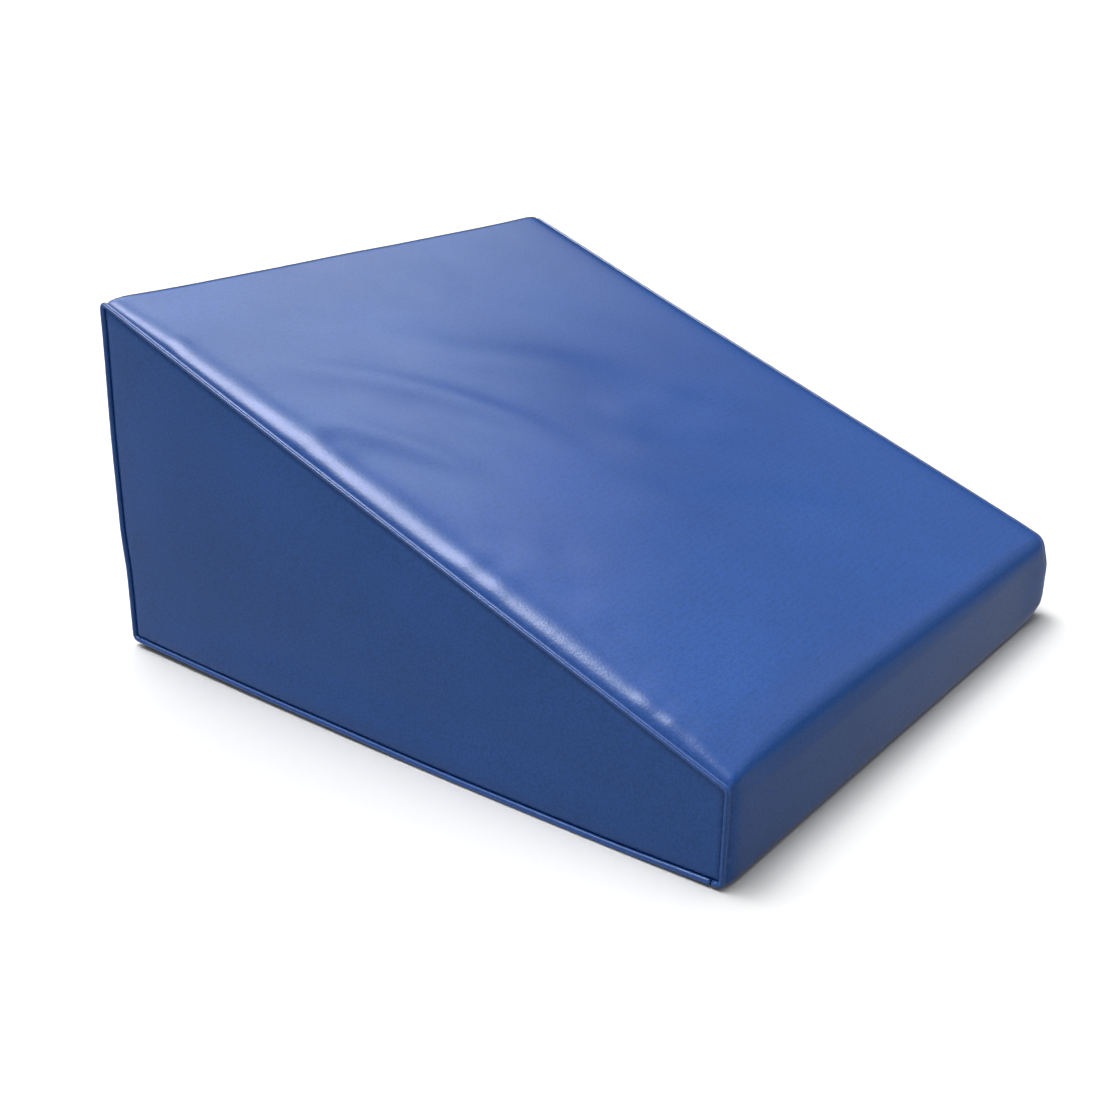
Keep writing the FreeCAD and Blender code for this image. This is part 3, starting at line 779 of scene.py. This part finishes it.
def wrap_welt_path(side):
    """The line of a wrap welt: in under the back, up it, down the ramp and the front, and in."""
    rear, front = HALF_LENGTH - WELT_INSET, -HALF_LENGTH + WELT_INSET
    rear_top = FRONT_HEIGHT + (rear + HALF_LENGTH) * SLOPE - WELT_INSET * SLANT
    front_top = FRONT_HEIGHT + (front + HALF_LENGTH) * SLOPE - WELT_INSET * SLANT
    x = side * (HALF_WIDTH - WELT_INSET)
    corners = [
        (x, HALF_LENGTH - WELT_FOOT, WELT_RADIUS), (x, rear, WELT_RADIUS), (x, rear, rear_top),
        (x, front, front_top), (x, front, WELT_RADIUS), (x, -HALF_LENGTH + WELT_FOOT, WELT_RADIUS),
    ]
    fold = 0 if side == LEFT else 2
    radii = (WELT_TURN, BACK_FOLD[fold] * MM, FRONT_FOLD[fold] * MM, WELT_TURN)
    return settle(rounded_route(corners, radii, WELT_PITCH))


def base_welt_path(side):
    """The line of a base welt, whose rear end pokes out a little where it was cut."""
    reach = HALF_LENGTH - WELT_FOOT - WELT_SPACE
    x = side * (HALF_WIDTH - WELT_INSET)
    y = np.linspace(-reach, reach, round(2 * reach / WELT_PITCH))
    path = settle(np.column_stack([np.full(y.shape, x), y, np.full(y.shape, WELT_RADIUS)]))
    stub = smooth(y, reach - 12 * MM, reach)
    path[:, 0] += side * 1.0 * MM * stub
    path[:, 2] += 0.8 * MM * stub
    return path


def welt_swell(path, seed):
    """How a welt's thickness wanders along it, as the strip is drawn tighter or looser."""
    s = np.arange(len(path)) * WELT_PITCH
    ripple = np.sin(s / (3.1 * MM) + 2 * wander(s, seed, 0.09))
    return 0.05 * MM * wander(s, seed, 0.16) + 0.03 * MM * ripple


def make_welts():
    """Each welt's vinyl strip and the cord inside it."""
    filler = filler_material()
    for side, name in SIDES:
        for kind, find_path in (("wrap", wrap_welt_path), ("base", base_welt_path)):
            path = find_path(side)
            node = f"{name}_{kind}_welt"
            outer = WELT_RADIUS + welt_swell(path, 50 + side)
            angle, depth, width = SEAM_GROOVE
            groove = (-side * angle, depth, width) if kind == "wrap" else None
            strip = tube_piece(f"{node}_strip", path, outer, STRIP_SIDES, WELT_BORE, groove)
            mark_points(strip, np.full(len(strip.data.vertices), 0.3))
            finish_piece(strip, "cover", vinyl_material("drawn_vinyl", 1.0), "cover_vinyl", node)
            cord = tube_piece(f"{node}_filler", path[1:-1], CORD_RADIUS, FILLER_SIDES)
            finish_piece(cord, "cover", filler, "welt_filler", f"{node}_cord")


# The foam, and the base with its rows of grip dots

FOAM_GAP = 0.8 * MM                    # from the cover's outer face to the foam
FOAM_REAR_GAP = 4 * MM                 # the same behind the zip
FOAM_EDGE = 13 * MM                    # width of its softened edges


def make_foam():
    """The foam wedge, cut a little smaller than the cover, with soft edges."""
    front, rear = -HALF_LENGTH + FOAM_GAP, HALF_LENGTH - FOAM_REAR_GAP
    drop = FOAM_GAP * SLANT
    outline = [
        (front, FOAM_GAP), (front, FRONT_HEIGHT + (front + HALF_LENGTH) * SLOPE - drop),
        (rear, FRONT_HEIGHT + (rear + HALF_LENGTH) * SLOPE - drop), (rear, FOAM_GAP),
    ]
    half = HALF_WIDTH - FOAM_GAP
    points = [(side * half, y, z) for side in (LEFT, RIGHT) for y, z in outline]
    faces = [(0, 1, 2, 3), (7, 6, 5, 4)]
    faces += [(i, i + 4, (i + 1) % 4 + 4, (i + 1) % 4) for i in range(4)]
    piece = make_mesh("foam_wedge", points, faces)
    bevel = piece.modifiers.new("soft_edges", "BEVEL")
    bevel.width = FOAM_EDGE
    bevel.segments = 6
    cuts = piece.modifiers.new("cuts", "SUBSURF")
    cuts.subdivision_type = "SIMPLE"
    cuts.levels = cuts.render_levels = 4
    apply_modifiers(piece)
    mesh = piece.data
    flat = np.zeros(3 * len(mesh.vertices))
    mesh.vertices.foreach_get("co", flat)
    mesh.vertices.foreach_set("co", settle(flat.reshape(-1, 3)).ravel())
    mesh.update()
    piece.data.polygons.foreach_set("use_smooth", [True] * len(piece.data.polygons))
    finish_piece(piece, "cover", foam_material(), "foam", "foam_core")


DOT_PITCH = 9 * MM
DOT_RADIUS = 2.2 * MM
DOT_HEIGHT = 0.4 * MM
DOT_MARGINS = (12 * MM, 8 * MM)        # from the sides and the ends of the base to the dots
BASE_FACE = 0.5 * MM                   # height of the cloth's underside over the floor


def make_base():
    """The base panel: coated cloth with staggered rows of low rubber dots on its underside."""
    half_x, half_y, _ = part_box("base_panel")[1]
    columns = spaced(EDGE_STEPS, -half_x, half_x, 10 * MM)
    rows = spaced(EDGE_STEPS[:8], -half_y, half_y, 10 * MM)
    grid = np.zeros((len(rows), len(columns), 3))
    grid[..., 0], grid[..., 1] = np.meshgrid(columns, rows)
    sag = 0.12 * MM * wander(grid[..., 0] + grid[..., 1], 61, 0.3)
    grid[..., 2] = BASE_FACE + sag
    points, faces = list(settle(grid).reshape(-1, 3)), grid_faces(len(rows), len(columns), flip=True)
    cloth_points = len(points)
    for place in dot_places(half_x - DOT_MARGINS[0], half_y - DOT_MARGINS[1]):
        add_dot(points, faces, settle(np.array((*place, BASE_FACE))))
    piece = make_mesh("base_panel_grip", points, faces)
    mark_points(piece, np.arange(len(points)) >= cloth_points, "dot")
    finish_piece(piece, "cover", grip_material(), "grip_base", "base_panel")


def dot_places(reach_x, reach_y):
    """Staggered places of the dots, from the middle out."""
    places = []
    row_pitch = DOT_PITCH * math.sqrt(3) / 2
    for i in range(-int(reach_y / row_pitch), int(reach_y / row_pitch) + 1):
        shift = DOT_PITCH / 2 * (i % 2)
        for j in range(-int(reach_x / DOT_PITCH), int(reach_x / DOT_PITCH) + 1):
            if abs(j * DOT_PITCH + shift) < reach_x:
                places.append((j * DOT_PITCH + shift, i * row_pitch))
    return places


def add_dot(points, faces, middle, sides=10):
    """Adds a low domed dot that points down from a place."""
    start = len(points)
    levels = ((1.0, -0.1), (0.86, 0.55), (0.5, 0.9))
    for share, drop in levels:
        for j in range(sides):
            angle = 2 * math.pi * j / sides
            reach = DOT_RADIUS * share
            points.append(middle + (reach * math.cos(angle), reach * math.sin(angle), -DOT_HEIGHT * drop))
    points.append(middle + (0, 0, -DOT_HEIGHT))
    for level in range(len(levels) - 1):
        for j in range(sides):
            a, b = start + level * sides + j, start + level * sides + (j + 1) % sides
            faces.append((a, a + sides, b + sides, b))
    top = start + (len(levels) - 1) * sides
    for j in range(sides):
        faces.append((top + j, start + len(levels) * sides, top + (j + 1) % sides))


# The stitching: rows of short threads laid on the cover

STITCH = 3.2 * MM
STITCH_GAP = 0.7 * MM
THREAD = 0.28 * MM


def add_stitch(points, faces, start, end, outward):
    """Adds one thread from hole to hole, which dips into the cover at both ends."""
    first = len(points)
    way = (end - start) / np.linalg.norm(end - start)
    side = np.cross(way, outward)
    profile = ((0.0, -0.5, 0.55), (0.12, 0.35, 0.9), (0.5, 0.62, 1.0), (0.88, 0.35, 0.9), (1.0, -0.5, 0.55))
    spokes = 6
    for share, rise, size in profile:
        middle = start + (end - start) * share + outward * rise * THREAD
        for j in range(spokes):
            angle = 2 * math.pi * j / spokes
            points.append(middle + THREAD * size * (side * math.cos(angle) + outward * math.sin(angle)))
    for level in range(len(profile) - 1):
        for j in range(spokes):
            a, b = first + level * spokes + j, first + level * spokes + (j + 1) % spokes
            faces.append((a, a + spokes, b + spokes, b))
    last = first + (len(profile) - 1) * spokes
    faces.append(tuple(range(first, first + spokes)))
    faces.append(tuple(range(last + spokes - 1, last - 1, -1)))


def stitch_row(name, line, outward):
    """A row of stitches along a line of points."""
    line = np.array(line, float)
    s = np.concatenate([[0], np.cumsum(np.linalg.norm(np.diff(line, axis=0), axis=1))])
    starts = np.arange(0, s[-1] - STITCH, STITCH + STITCH_GAP)
    points, faces = [], []
    outward = np.array(outward, float)

    def hole(place):
        return np.array([np.interp(place, s, line[:, k]) for k in range(3)])

    for place in starts:
        add_stitch(points, faces, hole(place), hole(place + STITCH), outward)
    finish_piece(make_mesh(name, points, faces), "cover", thread_material(), "cover_vinyl")


def level_line(reach, y, z):
    """A straight line across the mat, as it lies on the settled cover."""
    x = np.linspace(-reach, reach, 140)
    return settle(np.column_stack([x, np.full(x.shape, y), np.full(x.shape, z)]))


def make_stitching():
    """Topstitching along both sides of the zip and along the hems under the base."""
    back = HALF_LENGTH + FOLDED_STEP
    inset = 2.8 * MM
    reach = PANEL_EDGE - 9 * MM
    stitch_row("stitches_above_zip", level_line(reach, back, ZIP_HIGH + inset), (0, 1, 0))
    stitch_row("stitches_below_zip", level_line(reach, back, ZIP_LOW - inset), (0, 1, 0))
    for end, name in ((1, "rear"), (-1, "front")):
        y = end * (HALF_LENGTH - HEM + inset)
        stitch_row(f"stitches_{name}_hem", level_line(reach, y, 0.3 * MM), (0, 0, -1))


# The zip keeps its own parts, with woven tapes, moulded teeth and an enamelled slider

def dress_zip():
    woven, moulded, metal = tape_material(), moulded_material(), metal_material()
    finishes = (
        (woven, ("zip_upper_tape", "zip_lower_tape")),
        (moulded, ("zip_upper_teeth", "zip_lower_teeth")),
        (moulded, ("zip_upper_stop", "zip_lower_stop", "zip_bottom_stop")),
        (metal, ("zip_slider", "zip_pull")),
    )
    for material, names in finishes:
        for name in names:
            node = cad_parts[name]
            node.data.materials.clear()
            node.data.materials.append(material)


# The studio: a white floor under a dim room with broad soft lights, and the camera

WHITE = (1.0, 1.0, 1.0)


def make_floor():
    """A wide pale floor."""
    reach = 300.0
    level = -0.15 * MM
    corners = [(reach * x, reach * y, level) for x, y in ((-1, -1), (1, -1), (1, 1), (-1, 1))]
    floor = make_mesh("floor", corners, [(0, 1, 2, 3)], shade_smooth=False)
    shader = Shader("pale_floor", (0.555, 0.555, 0.555), 0.9)
    shader.principled.inputs["Specular IOR Level"].default_value = 0.0
    floor.data.materials.append(shader.material)
    floor.visible_glossy = False       # as through a polarising filter: gloss doesn't mirror it


def make_backdrop():
    """A white wall far behind the mat on every side. It is only seen, and lights nothing."""
    reach, height, sides = 30.0, 18.0, 96
    points = []
    for z in (-1.0, height):
        for j in range(sides):
            angle = 2 * math.pi * j / sides
            points.append((reach * math.cos(angle), reach * math.sin(angle), z))
    wall = make_mesh("backdrop", points, grid_faces(2, sides, closed=True), shade_smooth=False)
    shader = Shader("white_wall", (0.0, 0.0, 0.0), 1.0)
    shader.principled.inputs["Specular IOR Level"].default_value = 0.0
    shader.principled.inputs["Emission Color"].default_value = (*WHITE, 1)
    shader.principled.inputs["Emission Strength"].default_value = 1.0
    wall.data.materials.append(shader.material)
    wall.visible_diffuse = False
    wall.visible_glossy = False
    wall.visible_shadow = False


# Each soft light: its direction from the mat, how far its even middle and its soft rim reach in
# degrees from there, and its brightness. Gloss mirrors the last three from below the horizon
SOFT_LIGHTS = (
    ((-0.12, 0.20, 0.96), 5, 18, 10.5),
    ((-0.08, 0.20, 0.96), 8, 26, 2.8),
    ((0.10, 0.25, 0.96), 12, 52, 1.15),
    ((0.05, 0.75, 0.65), 10, 32, 1.8),
    ((0.58, 0.45, 0.68), 6, 24, 1.6),
    ((0.30, 0.42, 0.86), 6, 20, 0.6),
    ((0.71, -0.02, 0.71), 8, 30, 0.45),
    ((0.74, -0.42, 0.53), 6, 24, 0.5),
    ((-0.85, -0.10, 0.45), 15, 50, 0.45),
    ((-0.30, -0.85, 0.42), 10, 40, 0.45),
    ((-0.60, 0.60, -0.50), 20, 70, 0.23),
    ((0.93, -0.25, -0.20), 8, 32, 0.13),
    ((0.0, 0.0, -1.0), 84, 92, 0.20),
)
ROOM = 0.02
# How the picture is developed: linear brightness in, and out
TONES = ((0.18, 0.18), (0.52, 0.57), (0.80, 1.0))


def light_studio():
    """A dim even room and broad lights far away, so that the floor is evenly lit."""
    world = bpy.data.worlds.new("studio")
    world.use_nodes = True
    tree = world.node_tree
    background = tree.nodes["Background"]
    way = tree.nodes.new("ShaderNodeTexCoord").outputs["Generated"]
    total = None
    for direction, middle, rim, brightness in SOFT_LIGHTS:
        facing = tree.nodes.new("ShaderNodeVectorMath")
        facing.operation = "DOT_PRODUCT"
        tree.links.new(way, facing.inputs[0])
        facing.inputs[1].default_value = Vector(direction).normalized()
        glow = tree.nodes.new("ShaderNodeMapRange")
        glow.interpolation_type = "SMOOTHSTEP"
        glow.inputs["From Min"].default_value = math.cos(math.radians(rim))
        glow.inputs["From Max"].default_value = math.cos(math.radians(middle))
        glow.inputs["To Max"].default_value = brightness
        tree.links.new(facing.outputs["Value"], glow.inputs["Value"])
        sum_up = tree.nodes.new("ShaderNodeMath")
        sum_up.operation = "ADD"
        sum_up.inputs[0].default_value = ROOM
        if total is not None:
            tree.links.new(total, sum_up.inputs[0])
        tree.links.new(glow.outputs["Result"], sum_up.inputs[1])
        total = sum_up.outputs["Value"]
    tree.links.new(total, background.inputs["Strength"])
    background.inputs["Color"].default_value = (*WHITE, 1)
    bpy.context.scene.world = world


def develop():
    """Plain tones, with the floor and the brightest highlights lifted to white."""
    view = bpy.context.scene.view_settings
    view.view_transform = "Standard"
    view.look = "None"
    view.use_curve_mapping = True
    curve = view.curve_mapping.curves[3]
    curve.points[-1].location = (1.0, 1.0)
    for place in TONES:
        curve.points.new(*place)
    for point in curve.points:
        point.handle_type = "VECTOR"
    view.curve_mapping.update()


def make_camera():
    """The camera stands to the left of the low front, above the mat, and leans a degree."""
    camera = bpy.data.cameras.new("camera")
    camera.lens = 48.02
    camera.sensor_width = 36
    lookout = bpy.data.objects.new("camera", camera)
    aim = Vector((98.7 * MM, 121.7 * MM, RAISE))
    azimuth, elevation, distance = math.radians(-53.443), math.radians(22.349), 1498.9 * MM
    level = math.cos(elevation)
    away = Vector((math.sin(azimuth) * level, -math.cos(azimuth) * level, math.sin(elevation)))
    lookout.location = aim + away * distance
    lean = Matrix.Rotation(math.radians(1.001), 4, "Z")
    lookout.rotation_euler = (away.to_track_quat("Z", "Y").to_matrix().to_4x4() @ lean).to_euler()
    bpy.context.scene.collection.objects.link(lookout)
    bpy.context.scene.camera = lookout


make_camera()
make_cross_panels()
make_side_panels()
make_welts()
make_foam()
make_base()
make_stitching()
dress_zip()
make_floor()
make_backdrop()
light_studio()
develop()
